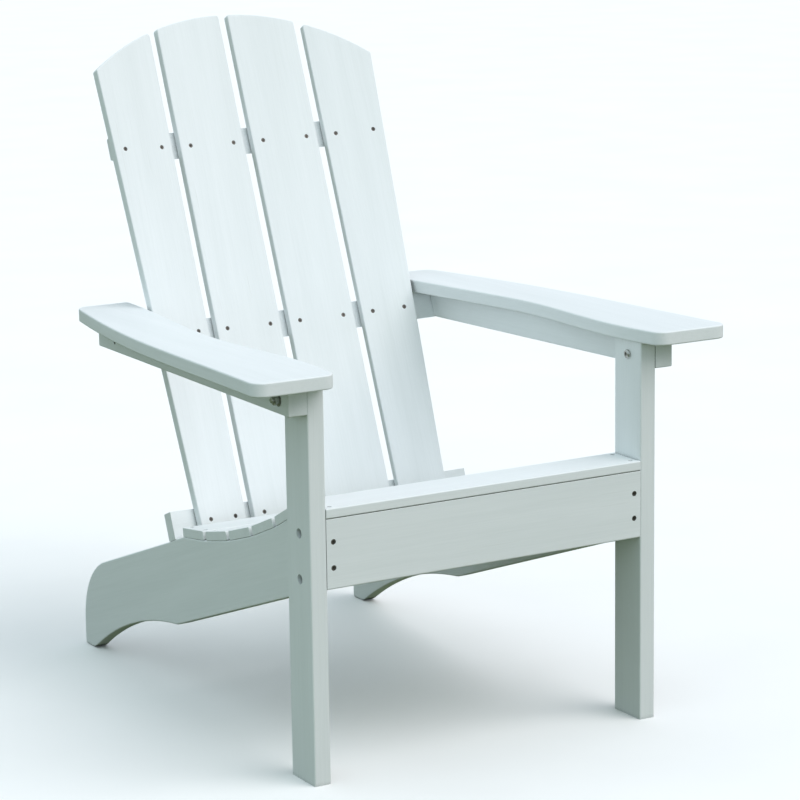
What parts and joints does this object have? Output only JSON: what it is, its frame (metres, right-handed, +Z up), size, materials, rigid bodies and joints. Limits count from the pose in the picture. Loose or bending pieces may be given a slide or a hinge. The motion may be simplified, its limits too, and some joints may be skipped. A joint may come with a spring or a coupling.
{
  "type": "adirondack chair",
  "caption": "White plastic-lumber adirondack chair with a dished slatted seat, a reclined fan back with a rounded top, and broad flat armrests.",
  "frame": {"origin": "on the floor, in the middle of the chair's width and half way between its front and rear ends", "axes": "+Z up, -Y the way the sitter faces, +X to the right of someone who looks at the chair from in front"},
  "size_m": [0.747, 0.8344, 0.9715],
  "materials": {
    "white_lumber": "white plastic lumber, matt, with a fine brushed grain along each board",
    "dark_screw": "dark coated screw heads",
    "white_screw": "screw heads painted to match the boards",
    "stainless": "bright stainless steel"
  },
  "bodies": {
    "root": {"left_front_leg": "white_lumber", "right_front_leg": "white_lumber", "left_stringer": "white_lumber", "right_stringer": "white_lumber", "front_apron": "white_lumber", "seat_slat_1": "white_lumber", "seat_slat_2": "white_lumber", "seat_slat_3": "white_lumber", "seat_slat_4": "white_lumber", "seat_slat_5": "white_lumber", "seat_slat_6": "white_lumber", "back_slat_1": "white_lumber", "back_slat_2": "white_lumber", "back_slat_3": "white_lumber", "back_slat_4": "white_lumber", "upper_back_rail": "white_lumber", "middle_back_rail": "white_lumber", "lower_back_rail": "white_lumber", "left_armrest": "white_lumber", "right_armrest": "white_lumber", "left_arm_rail": "white_lumber", "right_arm_rail": "white_lumber", "back_screws_upper": "dark_screw", "back_screws_middle": "dark_screw", "back_screws_lower": "dark_screw", "apron_screws": "dark_screw", "lower_rail_screws": "dark_screw", "arm_rail_screws": "dark_screw", "armrest_screws": "dark_screw", "seat_slat_screws": "white_screw", "leg_bolts": "stainless", "leg_bolt_washers": "stainless", "leg_bolt_nuts": "stainless", "arm_bolts": "stainless", "arm_bolt_washers": "stainless", "arm_bolt_nuts": "stainless"}
  },
  "joints": []
}
